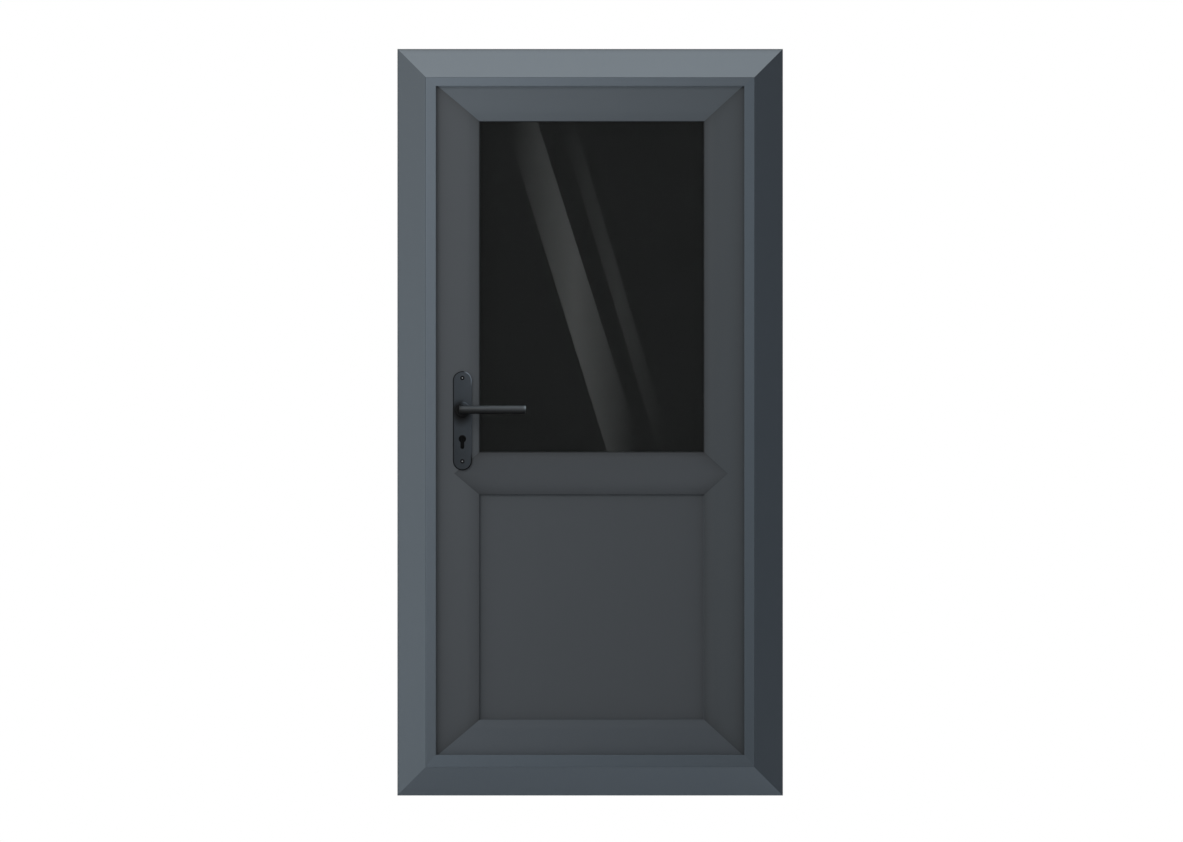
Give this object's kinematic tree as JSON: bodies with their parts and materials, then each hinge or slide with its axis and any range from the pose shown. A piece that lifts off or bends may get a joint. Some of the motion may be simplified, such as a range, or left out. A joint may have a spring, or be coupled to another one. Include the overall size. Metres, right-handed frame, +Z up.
{
  "type": "half glazed door",
  "caption": "Half glazed entrance door in its frame, with a mitred cover trim, dark glass above a plain panel, and a lever handle that turns on a hinged leaf.",
  "frame": {"origin": "middle of the cover trim's bottom edge, in the plane of the wall's outer face", "axes": "+Z up, +Y from outside into the room, +X to the right as seen from outside"},
  "size_m": [1.11, 0.194, 2.15],
  "materials": {
    "frame": "satin foil",
    "trim": "satin foil",
    "leaf": "satin foil",
    "panel": "satin foil",
    "glass": "dark tinted",
    "spacer": "black anodised",
    "rubber": "matte black",
    "handle": "satin dark grey",
    "cylinder": "black",
    "steel": "brushed",
    "hinge": "satin dark grey"
  },
  "bodies": {
    "frame": {"frame_head": "frame", "frame_jamb_hinge": "frame", "frame_jamb_lock": "frame", "frame_seal": "rubber", "frame_sill": "frame", "hinge_bottom_frame": "hinge", "hinge_middle_frame": "hinge", "hinge_top_frame": "hinge", "strike_plate": "steel", "trim_head": "trim", "trim_jamb_hinge": "trim", "trim_jamb_lock": "trim", "trim_sill": "trim"},
    "leaf": {"backplate_inside": "handle", "backplate_outside": "handle", "glass_bead_bottom": "leaf", "glass_bead_left": "leaf", "glass_bead_right": "leaf", "glass_bead_top": "leaf", "glass_gasket": "rubber", "glass_pane_inside": "glass", "glass_pane_outside": "glass", "glass_spacer": "spacer", "hinge_bottom_leaf": "hinge", "hinge_middle_leaf": "hinge", "hinge_top_leaf": "hinge", "leaf_rail_bottom": "leaf", "leaf_rail_middle": "leaf", "leaf_rail_top": "leaf", "leaf_seal": "rubber", "leaf_stile_hinge": "leaf", "leaf_stile_lock": "leaf", "lock_bolts": "steel", "lock_cylinder": "cylinder", "lock_faceplate": "steel", "lower_panel": "panel", "panel_bead_bottom": "leaf", "panel_bead_left": "leaf", "panel_bead_right": "leaf", "panel_bead_top": "leaf", "panel_gasket": "rubber"},
    "lever": {"lever_inside": "handle", "lever_outside": "handle", "spindle": "steel"}
  },
  "joints": [
    {"name": "leaf_swing", "type": "hinge", "parent": "frame", "child": "leaf", "pos_m": [0.486, 0.053, 1.08], "axis": [0, 0, -1], "range_deg": [0, 110]},
    {"name": "lever_turn", "type": "hinge", "parent": "leaf", "child": "lever", "pos_m": [-0.368, 0.02, 1.111], "axis": [0, 1, 0], "range_deg": [0, 40], "stiffness_Nm_per_rad": 2, "springref_deg": -28.65}
  ]
}
